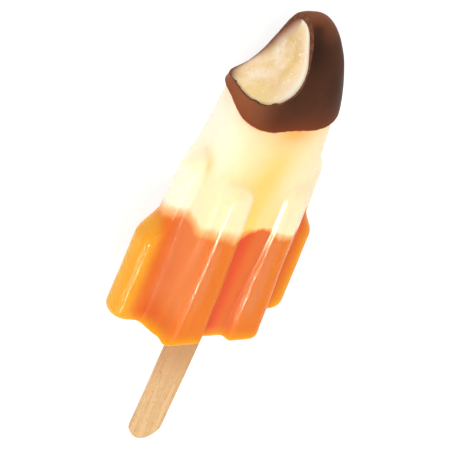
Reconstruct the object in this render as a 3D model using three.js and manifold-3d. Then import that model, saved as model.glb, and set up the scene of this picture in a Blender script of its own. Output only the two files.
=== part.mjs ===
// A ribbed, rocket-shaped ice lolly on a flat wooden stick, bitten once at the tip.
// It lies on its back: the crests of the two back ribs rest on the ground plane.
//
// Units are millimetres. Inside the "lolly" group
//   x = width of the lolly (end rib to end rib)
//   y = along the stick, 0 at the base of the ice and + towards the tip
//   z = thickness, + towards the wide front face
// The outer group tips the lolly until its back ribs lie flat, and puts the
// middle of the bounding box's underside at the origin.

import * as THREE from 'three';
import { mergeVertices } from 'three/addons/utils/BufferGeometryUtils.js';
import Module from 'manifold-3d';

const wasm = await Module();
wasm.setup();
const { Manifold, Mesh: SolidMesh } = wasm;

// ---------------------------------------------------------------- dimensions
const BODY_LENGTH = 100.1;         // base of the ice to the tip of the coating
const LAYER_LINE = 37.7;           // height of the orange / yellow line on the ribs
const GAP = 0.3;                   // clearance between touching pieces

// plain core: half width and half thickness at stations along the ice
const ICE_S = [0, 34, 56, 66, 72, 80, 96];
const ICE_HALF_WIDTH = [16.8, 18.3, 17.1, 16.3, 15.6, 14.3, 11.7];
const ICE_HALF_THICK = [12.0, 12.4, 11.5, 10.6, 10.15, 9.85, 6.7];
const COAT_S = [60, 66, 72, 80, 96];
const COAT_HALF_WIDTH = [17.5, 17.1, 16.5, 15.3, 12.7];
const COAT_HALF_THICK = [11.6, 11.4, 11.15, 10.85, 7.7];
const CORE_POWER = 2.6;            // superellipse exponent of the core section

// rounded tip of the coating and of the ice inside it
const COAT_DOME = 28.2;
const COAT_TIP_THICK = 1.8;
const ICE_DOME = 27.4;
const DOME_POWER = 2.4;

// broad ribs, a pair on the front face and a pair on the back face
const FACE_RIB_TOP = 53;           // where they run out
const FACE_RIB_RUNOUT = 4.5;
const FACE_RIB_CENTRE = [9.6, 8.8];      // at the base, at the top
const FACE_RIB_HALF = [5.9, 4.2];
const FACE_RIB_HEIGHT = [14.6, 12.6];    // crest distance from the mid-plane
const FACE_RIB_OUTER_CORNER = 4.0;       // towards the end rib
const FACE_RIB_INNER_CORNER = 2.2;       // towards the central valley

// narrow ribs at the two ends of the section
const END_RIB_TOP = 58.5;
const END_RIB_RUNOUT = 6;
const END_RIB_REACH = [26.0, 21.2];
const END_RIB_HALF_THICK = 3.9;

// the end ribs widen into fins over the orange part
const FIN_TOP = 36.6;
const FIN_SHOULDER = 9;
const FIN_REACH = [28.4, 27.1];
const FIN_HALF_THICK = 4.2;
const FIN_FOOT_ROUND = 3.6;

const FILLET = 1.9;                // soft blend between core and ribs
const BASE_ROUND = 1.8;            // rounded lower edge
const BASE_DROP = 1.15;            // the middle of the base hangs lower than the fins
const DROP_EDGE = [15, 25];        // from this x the drop fades to nothing at that x
const DROP_HEIGHT = 10;            // and it fades with height up to here

// bite: a concave scoop (curved along SPAN, slightly crowned along DEPTH)
const BITE_CENTRE = [-7.08, 82.0, -4.08];
const BITE_HEADING = 137.2;        // degrees about z, from +x
const BITE_PITCH = -14.4;          // degrees out of the xy plane
const BITE_ROLL = 3.5;             // degrees about its own outward direction
const BITE_SPAN_CURVE = 0.0396;    // 1 / mm
const BITE_DEPTH_CURVE = -0.0332;  // 1 / mm
const BITE_BLOCK = [30, 24, 34];   // half span, half depth, height of the tool

// stick
const STICK_WIDTH = 10.5;
const STICK_THICK = 2.2;
const STICK_LENGTH = 93;
const STICK_OUT = 51.6;            // length that shows below the ice
const STICK_EDGE = 0.25;           // softened long edges
const STICK_OFFSET = [0.85, 1.15]; // x and z of its axis in the base
const STICK_TWIST = 0.7;           // degrees about its own length
const STICK_LEAN = -1.7;           // degrees about z

// mesh density
const RIB_QUADRANT = 18;           // points in a quarter of a ribbed section
const CAP_SECTION = 52;            // points round the coating

// ------------------------------------------------------------------- helpers
const rad = THREE.MathUtils.degToRad;
const clamp01 = (t) => Math.min(1, Math.max(0, t));
const smooth = (t) => { t = clamp01(t); return t * t * (3 - 2 * t); };
const mix = (pair, t) => pair[0] + (pair[1] - pair[0]) * t;

// smooth curve through stations (cubic Hermite, straight beyond its ends)
function curveAt(xs, ys, x) {
  const n = xs.length;
  const slope = (i) => (ys[i + 1] - ys[i]) / (xs[i + 1] - xs[i]);
  const tangent = (i) => (i === 0 ? slope(0) : i === n - 1 ? slope(n - 2) : (slope(i - 1) + slope(i)) / 2);
  if (x <= xs[0]) return ys[0] + (x - xs[0]) * tangent(0);
  if (x >= xs[n - 1]) return ys[n - 1] + (x - xs[n - 1]) * tangent(n - 1);
  let i = 0;
  while (x > xs[i + 1]) i++;
  const h = xs[i + 1] - xs[i];
  const t = (x - xs[i]) / h;
  const t2 = t * t;
  const t3 = t2 * t;
  return (2 * t3 - 3 * t2 + 1) * ys[i] + (t3 - 2 * t2 + t) * h * tangent(i)
    + (3 * t2 - 2 * t3) * ys[i + 1] + (t3 - t2) * h * tangent(i + 1);
}

// factor that closes a section into a rounded tip at s = length
function domeFactor(s, length, dome) {
  const t = clamp01((s - (length - dome)) / dome);
  return Math.max(1 - t ** DOME_POWER, 0) ** (1 / DOME_POWER);
}

function softMin(a, b, k) {
  const h = clamp01(0.5 + 0.5 * (b - a) / k);
  return b * (1 - h) + a * h - k * h * (1 - h);
}

function roundedBox(x, z, hx, hz, r) {
  r = Math.min(r, Math.min(hx, hz) * 0.98);
  const qx = Math.abs(x) - hx + r;
  const qz = Math.abs(z) - hz + r;
  return Math.hypot(Math.max(qx, 0), Math.max(qz, 0)) + Math.min(Math.max(qx, qz), 0) - r;
}

// a rib's height fraction: 1 along it, rounding down to 0 at its top
function runOut(s, top, length) {
  const t = clamp01((s - (top - length)) / length);
  return Math.sqrt(Math.max(1 - t * t, 0));
}

const iceLength = BODY_LENGTH - COAT_TIP_THICK;

// signed measure of the ice section at height s: negative inside
function iceField(x, z, s) {
  const tip = domeFactor(s, iceLength, ICE_DOME);
  const a = Math.max(curveAt(ICE_S, ICE_HALF_WIDTH, s) * tip, 1e-3);
  const b = Math.max(curveAt(ICE_S, ICE_HALF_THICK, s) * tip, 1e-3);
  const g = (Math.abs(x / a) ** CORE_POWER + Math.abs(z / b) ** CORE_POWER) ** (1 / CORE_POWER);
  let f = (g - 1) * Math.min(a, b);
  if (s < FACE_RIB_TOP) {
    const rise = runOut(s, FACE_RIB_TOP, FACE_RIB_RUNOUT);
    const t = clamp01(s / FACE_RIB_TOP);
    const half = mix(FACE_RIB_HALF, t) * Math.max(rise, 0.05);
    const crest = b - 4 + (mix(FACE_RIB_HEIGHT, t) - (b - 4)) * rise;
    const aside = Math.abs(x) - mix(FACE_RIB_CENTRE, t);
    const corner = aside > 0 ? FACE_RIB_OUTER_CORNER : FACE_RIB_INNER_CORNER;
    f = softMin(f, roundedBox(aside, z, half, crest, corner), FILLET);
  }
  if (s < END_RIB_TOP) {
    const rise = runOut(s, END_RIB_TOP, END_RIB_RUNOUT);
    const fin = smooth((FIN_TOP - s) / FIN_SHOULDER);
    const foot = Math.max(FIN_FOOT_ROUND - s, 0);
    let reach = mix(END_RIB_REACH, clamp01(s / END_RIB_TOP));
    reach += (mix(FIN_REACH, clamp01(s / FIN_TOP)) - reach) * fin;
    reach -= FIN_FOOT_ROUND - Math.sqrt(FIN_FOOT_ROUND ** 2 - foot ** 2);
    const half = END_RIB_HALF_THICK + (FIN_HALF_THICK - END_RIB_HALF_THICK) * fin;
    const out = a - 5 + (reach - (a - 5)) * rise;
    f = softMin(f, roundedBox(x, z, out, half * Math.max(rise, 0.2), 3.9), FILLET);
  }
  return f;
}

// distance from the axis to the ice surface, in direction phi
function iceRadius(phi, s, inset = 0) {
  const c = Math.cos(phi);
  const n = Math.sin(phi);
  let low = 0;
  let high = 40;
  for (let i = 0; i < 30; i++) {
    const mid = (low + high) / 2;
    if (iceField(c * mid, n * mid, s) < -inset) low = mid; else high = mid;
  }
  return (low + high) / 2;
}

function coreRadius(phi, a, b) {
  return 1 / (Math.abs(Math.cos(phi) / a) ** CORE_POWER
    + Math.abs(Math.sin(phi) / b) ** CORE_POWER) ** (1 / CORE_POWER);
}

// one ribbed section: points crowd where the outline turns
function ribbedSection(s, inset = 0) {
  const fine = 320;
  const quarter = [];
  for (let i = 0; i <= fine; i++) {
    const phi = (i / fine) * Math.PI / 2;
    const r = iceRadius(phi, s, inset);
    quarter.push([r * Math.cos(phi), r * Math.sin(phi)]);
  }
  const weight = [0];
  let heading = null;
  for (let i = 1; i <= fine; i++) {
    const dx = quarter[i][0] - quarter[i - 1][0];
    const dz = quarter[i][1] - quarter[i - 1][1];
    const now = Math.atan2(dz, dx);
    let turn = heading === null ? 0 : Math.abs(now - heading);
    if (turn > Math.PI) turn = 2 * Math.PI - turn;
    weight.push(weight[i - 1] + Math.hypot(dx, dz) + 2.2 * turn);
    heading = now;
  }
  const picked = [];
  let k = 0;
  for (let j = 0; j <= RIB_QUADRANT; j++) {
    const goal = weight[fine] * j / RIB_QUADRANT;
    while (k < fine - 1 && weight[k + 1] < goal) k++;
    const t = clamp01((goal - weight[k]) / (weight[k + 1] - weight[k]));
    picked.push([
      quarter[k][0] + (quarter[k + 1][0] - quarter[k][0]) * t,
      quarter[k][1] + (quarter[k + 1][1] - quarter[k][1]) * t,
    ]);
  }
  const ring = [];
  for (let j = 0; j < RIB_QUADRANT; j++) ring.push([picked[j][0], picked[j][1]]);
  for (let j = RIB_QUADRANT; j > 0; j--) ring.push([-picked[j][0], picked[j][1]]);
  for (let j = 0; j < RIB_QUADRANT; j++) ring.push([-picked[j][0], -picked[j][1]]);
  for (let j = RIB_QUADRANT; j > 0; j--) ring.push([picked[j][0], -picked[j][1]]);
  return ring;
}

// closed skin over rings of equal length, each end shut by a fan to a pole
function skin(rings, startPole, endPole) {
  const n = rings[0].length;
  const position = [];
  for (const ring of rings) for (const p of ring) position.push(...p);
  const start = position.length / 3;
  position.push(...startPole);
  const end = start + 1;
  position.push(...endPole);
  const index = [];
  for (let i = 0; i < rings.length - 1; i++) {
    for (let j = 0; j < n; j++) {
      const a = i * n + j;
      const b = i * n + (j + 1) % n;
      index.push(a, b, a + n, b, b + n, a + n);
    }
  }
  const last = (rings.length - 1) * n;
  for (let j = 0; j < n; j++) {
    index.push(start, (j + 1) % n, j);
    index.push(end, last + j, last + (j + 1) % n);
  }
  return closedGeometry(position, index);
}

// indexed geometry whose faces point outwards
function closedGeometry(position, index) {
  let volume = 0;
  const at = (i) => new THREE.Vector3(position[3 * i], position[3 * i + 1], position[3 * i + 2]);
  for (let i = 0; i < index.length; i += 3) {
    volume += at(index[i]).dot(at(index[i + 1]).cross(at(index[i + 2])));
  }
  if (volume < 0) {
    for (let i = 0; i < index.length; i += 3) [index[i], index[i + 1]] = [index[i + 1], index[i]];
  }
  const geometry = new THREE.BufferGeometry();
  geometry.setAttribute('position', new THREE.Float32BufferAttribute(position, 3));
  geometry.setIndex(index);
  return geometry;
}

function toSolid(geometry) {
  const bare = geometry.clone();
  bare.deleteAttribute('normal');
  bare.deleteAttribute('uv');
  const merged = mergeVertices(bare, 1e-4);
  return new Manifold(new SolidMesh({
    numProp: 3,
    vertProperties: new Float32Array(merged.getAttribute('position').array),
    triVerts: new Uint32Array(merged.getIndex().array),
  }));
}

function toGeometry(solid) {
  const mesh = solid.getMesh();
  const geometry = new THREE.BufferGeometry();
  geometry.setAttribute('position', new THREE.Float32BufferAttribute(mesh.vertProperties, 3));
  geometry.setIndex(new THREE.Uint32BufferAttribute(mesh.triVerts, 1));
  geometry.computeVertexNormals();
  return geometry;
}

// the orange / yellow line climbs in the valleys and sags a little on the ribs:
// [direction in degrees, rise, width in degrees]
const WAVES = [[93, 2.6, 17], [128, 0.6, 10], [149, -0.9, 6], [167, 1.4, 7], [50, -0.9, 12], [20, 0.5, 9],
  [195, 1.1, 7], [213, -0.8, 8], [268, 2.1, 16], [312, -0.8, 10], [344, 0.9, 8]];
function layerLine(phi) {
  const deg = THREE.MathUtils.radToDeg(phi);
  let s = LAYER_LINE;
  for (const [centre, rise, width] of WAVES) {
    const away = ((deg - centre + 900) % 360) - 180;
    s += rise * Math.exp(-((away / width) ** 2));
  }
  return s;
}

// lower edge of the coating: lowest over the front face, highest over the left end
const DIP_REF = 71.5;
const DIP_DEG = [-40, 0, 30, 45, 60, 80, 100, 125, 140, 155, 168, 180, 200, 240, 280, 320, 360, 390];
const DIP_S = [72.5, 72.7, 72.3, 71.3, 70.9, 71.0, 70.9, 70.2, 70.5, 71.8, 73.6, 74.6, 74.7, 73.8, 73.0, 72.5, 72.7, 72.3];
function dipLine(phi) {
  const deg = ((THREE.MathUtils.radToDeg(phi) % 360) + 360) % 360;
  return curveAt(DIP_DEG, DIP_S, deg);
}

// how far the middle of the base hangs down at (x, s)
function baseDrop(x, s) {
  return BASE_DROP * (1 - smooth((Math.abs(x) - DROP_EDGE[0]) / (DROP_EDGE[1] - DROP_EDGE[0])))
    * clamp01(1 - s / DROP_HEIGHT);
}

// -------------------------------------------------------------------- pieces
// orange part: rounded lower edge, then up to just under the layer line
function orangeGeometry() {
  const rings = [];
  for (const turn of [0, 30, 60, 90]) {
    const s = BASE_ROUND * (1 - Math.cos(rad(turn)));
    rings.push(ribbedSection(s, BASE_ROUND * (1 - Math.sin(rad(turn)))).map(([x, z]) => [x, s - baseDrop(x, s), z]));
  }
  for (const s of [3.4, 8, 14, 20, 25.5, 28.5, 31, 33.5]) {
    rings.push(ribbedSection(s).map(([x, z]) => [x, s - baseDrop(x, s), z]));
  }
  rings.push(layerRing(-GAP / 2, 0.45));
  rings.push(layerRing(-GAP / 2, 1));
  return skin(rings, [0, -BASE_DROP, 0], [0, LAYER_LINE - GAP / 2, 0]);
}

// a ring that follows the layer line; follow = 0 is flat at the ring below
function layerRing(shift, follow) {
  const flat = ribbedSection(LAYER_LINE);
  return flat.map(([x0, z0]) => {
    const phi = Math.atan2(z0, x0);
    const low = 33.5;
    const s = low + (layerLine(phi) + shift - low) * follow;
    const r = iceRadius(phi, s);
    return [r * Math.cos(phi), s, r * Math.sin(phi)];
  });
}

// yellow part: from the layer line up through the coating to the ice's tip
function yellowGeometry() {
  const rings = [];
  rings.push(layerRing(GAP / 2, 1));
  for (const s of [41.5, 44.5, 46.8, 48.6, 50, 51.4, 52.4, 53.4, 54.8, 56.2, 57.4, 58.4, 60.5, 64, 68, 72, 76, 80, 84, 88, 91.5, 94.3, 96.5, 97.8]) {
    rings.push(ribbedSection(s).map(([x, z]) => [x, s, z]));
  }
  return skin(rings, [0, LAYER_LINE + GAP / 2, 0], [0, iceLength, 0]);
}

// chocolate coating: down its outside, round its lower lip and up its inside
function coatingGeometry() {
  const rings = [];
  const ringAt = (length, dome, thin, grow, follow, s0) => {
    const ring = [];
    for (let j = 0; j < CAP_SECTION; j++) {
      const phi = 2 * Math.PI * j / CAP_SECTION;
      const s = s0 + (dipLine(phi) - DIP_REF) * follow;
      const f = domeFactor(s, length, dome);
      const xs = thin ? ICE_S : COAT_S;
      const a = curveAt(xs, thin ? ICE_HALF_WIDTH : COAT_HALF_WIDTH, s) * f + grow;
      const b = curveAt(xs, thin ? ICE_HALF_THICK : COAT_HALF_THICK, s) * f + grow;
      const r = coreRadius(phi, a, b);
      ring.push([r * Math.cos(phi), s, r * Math.sin(phi)]);
    }
    return ring;
  };
  for (const s of [99.8, 98.9, 97.2, 94.6, 91.5, 88, 84, 80]) rings.push(ringAt(BODY_LENGTH, COAT_DOME, false, 0, 0, s));
  rings.push(ringAt(BODY_LENGTH, COAT_DOME, false, 0, 0.5, 76));
  rings.push(ringAt(BODY_LENGTH, COAT_DOME, false, 0, 1, 72.6));
  rings.push(ringAt(BODY_LENGTH, COAT_DOME, false, -0.12, 1, 71.95));
  rings.push(ringAt(BODY_LENGTH, COAT_DOME, false, -0.42, 1, 71.55));
  rings.push(ringAt(BODY_LENGTH, COAT_DOME, true, GAP, 1, 71.5));
  rings.push(ringAt(BODY_LENGTH, COAT_DOME, true, GAP, 1, 72.6).map(([x, s, z]) => innerPoint(x, s, z)));
  for (const s of [77.5, 81.5, 85.5, 89, 92, 94.6, 96.5, 97.8]) {
    rings.push(rings[0].map((_, j) => {
      const phi = 2 * Math.PI * j / CAP_SECTION;
      return innerPoint(Math.cos(phi), s, Math.sin(phi));
    }));
  }
  return skin(rings, [0, BODY_LENGTH, 0], [0, iceLength + GAP, 0]);
}

// the coating's inside: the ice surface moved out by the clearance
function innerPoint(x, s, z) {
  const phi = Math.atan2(z, x);
  const f = domeFactor(s, iceLength + GAP, ICE_DOME);
  const a = curveAt(ICE_S, ICE_HALF_WIDTH, s) * f + GAP;
  const b = curveAt(ICE_S, ICE_HALF_THICK, s) * f + GAP;
  const r = coreRadius(phi, a, b);
  return [r * Math.cos(phi), s, r * Math.sin(phi)];
}

// the bite's tool: everything outside a curved scoop
function biteGeometry() {
  const heading = rad(BITE_HEADING);
  const pitch = rad(BITE_PITCH);
  const out = new THREE.Vector3(Math.cos(pitch) * Math.cos(heading), Math.cos(pitch) * Math.sin(heading), Math.sin(pitch));
  const span = new THREE.Vector3(0, 0, 1).cross(out).normalize();
  const depth = out.clone().cross(span);
  const roll = rad(BITE_ROLL);
  const u = span.clone().multiplyScalar(Math.cos(roll)).addScaledVector(depth, Math.sin(roll));
  const v = depth.clone().multiplyScalar(Math.cos(roll)).addScaledVector(span, -Math.sin(roll));
  const centre = new THREE.Vector3(...BITE_CENTRE);
  const [halfSpan, halfDepth, height] = BITE_BLOCK;
  const nu = 26;
  const nv = 16;
  const position = [];
  const index = [];
  const put = (p) => { position.push(p.x, p.y, p.z); return position.length / 3 - 1; };
  const grid = (level) => {
    const rows = [];
    for (let i = 0; i <= nu; i++) {
      const row = [];
      for (let j = 0; j <= nv; j++) {
        const a = -halfSpan + 2 * halfSpan * i / nu;
        const b = -halfDepth + 2 * halfDepth * j / nv;
        const w = level === null ? BITE_SPAN_CURVE * a * a + BITE_DEPTH_CURVE * b * b : level;
        row.push(put(centre.clone().addScaledVector(u, a).addScaledVector(v, b).addScaledVector(out, w)));
      }
      rows.push(row);
    }
    return rows;
  };
  const low = grid(null);
  const high = grid(height);
  const quad = (a, b, c, d) => index.push(a, b, c, a, c, d);
  for (let i = 0; i < nu; i++) {
    for (let j = 0; j < nv; j++) {
      quad(low[i][j], low[i][j + 1], low[i + 1][j + 1], low[i + 1][j]);
      quad(high[i][j], high[i + 1][j], high[i + 1][j + 1], high[i][j + 1]);
    }
  }
  for (let i = 0; i < nu; i++) {
    quad(low[i][0], low[i + 1][0], high[i + 1][0], high[i][0]);
    quad(low[i + 1][nv], low[i][nv], high[i][nv], high[i + 1][nv]);
  }
  for (let j = 0; j < nv; j++) {
    quad(low[0][j + 1], low[0][j], high[0][j], high[0][j + 1]);
    quad(low[nu][j], low[nu][j + 1], high[nu][j + 1], high[nu][j]);
  }
  return closedGeometry(position, index);
}

// flat stick with round ends, along y, its length centred on its own origin
function stickGeometry(grow = 0) {
  const w = STICK_WIDTH / 2 + grow - STICK_EDGE;
  const half = STICK_LENGTH / 2 + grow - STICK_EDGE;
  const shape = new THREE.Shape();
  shape.moveTo(w, -half + w);
  shape.lineTo(w, half - w);
  shape.absarc(0, half - w, w, 0, Math.PI, false);
  shape.lineTo(-w, -half + w);
  shape.absarc(0, -half + w, w, Math.PI, 2 * Math.PI, false);
  const geometry = new THREE.ExtrudeGeometry(shape, {
    depth: STICK_THICK + 2 * grow - 2 * STICK_EDGE,
    curveSegments: 10,
    bevelEnabled: true,
    bevelThickness: STICK_EDGE,
    bevelSize: STICK_EDGE,
    bevelSegments: 2,
    steps: 1,
  });
  geometry.translate(0, 0, -(STICK_THICK / 2 + grow - STICK_EDGE));
  return geometry;
}

const stickMatrix = new THREE.Matrix4()
  .makeTranslation(STICK_OFFSET[0], 0, STICK_OFFSET[1])
  .multiply(new THREE.Matrix4().makeRotationZ(rad(STICK_LEAN)))
  .multiply(new THREE.Matrix4().makeRotationY(rad(STICK_TWIST)))
  .multiply(new THREE.Matrix4().makeTranslation(0, STICK_LENGTH / 2 - STICK_OUT, 0));

const bite = toSolid(biteGeometry());
const slot = toSolid(stickGeometry(GAP).applyMatrix4(stickMatrix));
const orange = toSolid(orangeGeometry()).subtract(slot);
const yellow = toSolid(yellowGeometry()).subtract(slot).subtract(bite);
const coating = toSolid(coatingGeometry()).subtract(bite);

// --------------------------------------------------------------------- scene
const material = (colour, roughness) => new THREE.MeshStandardMaterial({ color: colour, roughness, metalness: 0 });

const lolly = new THREE.Group();

const iceOrange = new THREE.Mesh(toGeometry(orange), material(0xf0802a, 0.35));
iceOrange.name = 'ice_orange';
lolly.add(iceOrange);

const iceYellow = new THREE.Mesh(toGeometry(yellow), material(0xffefb4, 0.35));
iceYellow.name = 'ice_yellow';
lolly.add(iceYellow);

const cap = new THREE.Mesh(toGeometry(coating), material(0x5c3726, 0.45));
cap.name = 'chocolate_cap';
lolly.add(cap);

const stick = new THREE.Mesh(stickGeometry(), material(0xdeb482, 0.7));
stick.name = 'stick';
stick.applyMatrix4(stickMatrix);
lolly.add(stick);

// lie on the back ribs: turn the lolly until their crests are level
lolly.rotation.x = -Math.atan((FACE_RIB_HEIGHT[0] - FACE_RIB_HEIGHT[1]) / FACE_RIB_TOP);

const part = new THREE.Group();
part.add(lolly);
part.updateMatrixWorld(true);
const box = new THREE.Box3().setFromObject(part, true);
lolly.position.set(-(box.min.x + box.max.x) / 2, -(box.min.y + box.max.y) / 2, -box.min.z);

export default part;
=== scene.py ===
import math

import bpy
import numpy as np
from mathutils import Matrix, Vector, noise


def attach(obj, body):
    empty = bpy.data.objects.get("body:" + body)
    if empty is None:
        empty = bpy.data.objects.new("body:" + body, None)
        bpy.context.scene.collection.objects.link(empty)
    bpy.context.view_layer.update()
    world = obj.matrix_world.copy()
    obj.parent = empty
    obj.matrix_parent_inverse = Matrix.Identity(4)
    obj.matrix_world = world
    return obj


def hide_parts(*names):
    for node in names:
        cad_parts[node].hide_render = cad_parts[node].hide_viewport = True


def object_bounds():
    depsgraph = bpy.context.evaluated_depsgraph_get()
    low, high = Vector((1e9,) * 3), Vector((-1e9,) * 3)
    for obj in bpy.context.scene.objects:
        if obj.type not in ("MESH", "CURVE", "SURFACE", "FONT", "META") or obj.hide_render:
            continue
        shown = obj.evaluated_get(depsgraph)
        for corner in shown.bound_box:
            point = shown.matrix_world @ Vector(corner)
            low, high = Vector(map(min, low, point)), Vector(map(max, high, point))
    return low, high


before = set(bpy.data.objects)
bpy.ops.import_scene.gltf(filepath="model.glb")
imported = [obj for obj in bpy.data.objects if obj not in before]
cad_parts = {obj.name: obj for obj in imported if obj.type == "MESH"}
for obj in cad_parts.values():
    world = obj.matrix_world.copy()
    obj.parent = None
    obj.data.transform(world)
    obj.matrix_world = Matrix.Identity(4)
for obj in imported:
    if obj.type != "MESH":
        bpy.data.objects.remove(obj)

CAD_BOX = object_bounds()

# ------------------------------------------------------------------ dimensions
# Millimetres in the lolly's own frame, as in the CAD: x across the ribs, s or y
# along the stick from the base of the ice, z out of the front face.
BODY = 100.1
LAYER = 37.7
ICE_S = [0, 34, 56, 66, 72, 80, 96]
ICE_W = [16.8, 18.3, 17.1, 16.3, 15.6, 14.3, 11.7]
ICE_T = [12.0, 12.4, 11.5, 10.6, 10.15, 9.85, 6.7]
COAT_S = [60, 66, 72, 80, 96]
COAT_W = [17.5, 17.1, 16.5, 15.3, 12.7]
COAT_T = [11.6, 11.4, 11.15, 10.85, 7.7]
CORE_POWER, DOME_POWER = 2.6, 2.4
COAT_DOME, ICE_DOME, TIP_THICK = 28.2, 27.4, 1.8
ICE_L = BODY - TIP_THICK
RIB_TOP, RIB_RUN = 54.2, 5.8
RIB_C, RIB_H, RIB_Z = (9.6, 8.8), (5.9, 4.2), (14.6, 12.6)
RIB_OUTER, RIB_INNER = 4.0, 2.2
END_TOP, END_RUN, END_X, END_T = 58.7, 7.0, (26.0, 21.2), 3.9
FIN_TOP, FIN_SHOULDER, FIN_X, FIN_T, FIN_FOOT = 36.6, 9.0, (28.4, 27.1), 4.2, 3.6
FILLET, BASE_ROUND, BASE_DROP = 1.9, 1.8, 1.15
BITE_C = np.array([-7.08, 82.0, -4.08])
BITE_HEADING, BITE_PITCH, BITE_ROLL = (math.radians(a) for a in (137.2, -14.4, 3.5))
BITE_K1, BITE_K2 = 0.0396, -0.0332
STICK_W, STICK_T, STICK_L, STICK_OUT = 10.5, 2.2, 93.0, 51.6
STICK_X, STICK_Z = 0.85, 1.15
STICK_TWIST, STICK_LEAN = math.radians(0.7), math.radians(-1.7)

# how the lolly lies: back ribs level, middle of the box's underside at the origin
TILT = -math.atan((RIB_Z[0] - RIB_Z[1]) / RIB_TOP)
PLACE = Matrix.Translation((0.0, -24.2495, 14.6715)) @ Matrix.Rotation(TILT, 4, "X")
LIE = Matrix.Scale(0.001, 4) @ PLACE


# --------------------------------------------------------------- shape functions
def curve(xs, ys, x):
    xs, ys, x = (np.asarray(a, float) for a in (xs, ys, x))
    sl = np.diff(ys) / np.diff(xs)
    m = np.concatenate([[sl[0]], (sl[:-1] + sl[1:]) / 2, [sl[-1]]])
    i = np.clip(np.searchsorted(xs, x, side="left") - 1, 0, len(xs) - 2)
    h = xs[i + 1] - xs[i]
    t = (x - xs[i]) / h
    t2, t3 = t * t, t * t * t
    y = (2 * t3 - 3 * t2 + 1) * ys[i] + (t3 - 2 * t2 + t) * h * m[i] + (3 * t2 - 2 * t3) * ys[i + 1] + (t3 - t2) * h * m[i + 1]
    y = np.where(x <= xs[0], ys[0] + (x - xs[0]) * m[0], y)
    return np.where(x >= xs[-1], ys[-1] + (x - xs[-1]) * m[-1], y)


def smooth(t):
    t = np.clip(t, 0, 1)
    return t * t * (3 - 2 * t)


def mix(pair, t):
    return pair[0] + (pair[1] - pair[0]) * t


def dome(s, length, d):
    t = np.clip((s - (length - d)) / d, 0, 1)
    return np.maximum(1 - t**DOME_POWER, 0) ** (1 / DOME_POWER)


def soft_min(a, b, k):
    h = np.clip(0.5 + 0.5 * (b - a) / k, 0, 1)
    return b * (1 - h) + a * h - k * h * (1 - h)


def rounded_box(x, z, hx, hz, r):
    r = np.minimum(r, np.minimum(hx, hz) * 0.98)
    qx, qz = np.abs(x) - hx + r, np.abs(z) - hz + r
    return np.hypot(np.maximum(qx, 0), np.maximum(qz, 0)) + np.minimum(np.maximum(qx, qz), 0) - r


def run_out(s, top, length):
    t = np.clip((s - (top - length)) / length, 0, 1)
    return np.maximum(1 - t**2.2, 0) ** 0.8


def ice_field(x, z, s):
    tip = dome(s, ICE_L, ICE_DOME)
    a = np.maximum(curve(ICE_S, ICE_W, s) * tip, 1e-3)
    b = np.maximum(curve(ICE_S, ICE_T, s) * tip, 1e-3)
    g = (np.abs(x / a) ** CORE_POWER + np.abs(z / b) ** CORE_POWER) ** (1 / CORE_POWER)
    f = (g - 1) * np.minimum(a, b)
    rise = run_out(s, RIB_TOP, RIB_RUN)
    t = np.clip(s / RIB_TOP, 0, 1)
    half = mix(RIB_H, t) * np.sqrt(np.clip(1 - np.clip((s - RIB_TOP + 3.4) / 4.4, 0, 1) ** 2, 0.04, 1))
    crest = b - 4 + (mix(RIB_Z, t) - (b - 4)) * rise
    aside = np.abs(x) - mix(RIB_C, t)
    corner = np.where(aside > 0, RIB_OUTER, RIB_INNER)
    blend = FILLET + 2.4 * smooth((aside - half + 0.4) / 2.0) - 1.1 * smooth((-aside - 1.5) / 2.0) * smooth((s - 18) / 12)
    f = np.where(s < RIB_TOP, soft_min(f, rounded_box(aside, z, half, crest, corner), blend), f)
    rise = run_out(s, END_TOP, END_RUN)
    fin = smooth((FIN_TOP - s) / FIN_SHOULDER)
    foot = np.maximum(FIN_FOOT - s, 0)
    reach = mix(END_X, np.clip(s / END_TOP, 0, 1))
    reach = reach + (mix(FIN_X, np.clip(s / FIN_TOP, 0, 1)) - reach) * fin
    reach = reach - (FIN_FOOT - np.sqrt(np.maximum(FIN_FOOT**2 - foot**2, 0)))
    half = END_T + (FIN_T - END_T) * fin
    out = a - 5 + (reach - (a - 5)) * rise
    return np.where(s < END_TOP, soft_min(f, rounded_box(x, z, out, half * np.maximum(rise, 0.2), 3.9), FILLET), f)


def ice_radius(phi, s, inset=0.0):
    phi, s, inset = np.broadcast_arrays(np.asarray(phi, float), np.asarray(s, float), np.asarray(inset, float))
    c, n = np.cos(phi), np.sin(phi)
    lo, hi = np.zeros(phi.shape), np.full(phi.shape, 40.0)
    for _ in range(22):
        mid = (lo + hi) / 2
        inside = ice_field(c * mid, n * mid, s) < -inset
        lo, hi = np.where(inside, mid, lo), np.where(inside, hi, mid)
    return (lo + hi) / 2


def core_radius(phi, a, b):
    return 1 / ((np.abs(np.cos(phi)) / a) ** CORE_POWER + (np.abs(np.sin(phi)) / b) ** CORE_POWER) ** (1 / CORE_POWER)


def coat_radius(phi, s):
    f = dome(s, BODY, COAT_DOME)
    return core_radius(phi, np.maximum(curve(COAT_S, COAT_W, s) * f, 1e-3), np.maximum(curve(COAT_S, COAT_T, s) * f, 1e-3))


def plain_radius(phi, s):
    f = dome(s, ICE_L, ICE_DOME)
    return core_radius(phi, np.maximum(curve(ICE_S, ICE_W, s) * f, 1e-3), np.maximum(curve(ICE_S, ICE_T, s) * f, 1e-3))


def thin_coat(phi, s):
    """how far the ice swells out under the chocolate, so that the coat is thin beside the bite and thick at the tip"""
    w = smooth((s - dip_line(phi) - 0.9) / 2.6) * (1 - smooth((s - 87.0) / 7.5))
    return w * np.maximum(coat_radius(phi, s) - plain_radius(phi, s) - 0.42, 0)


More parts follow.
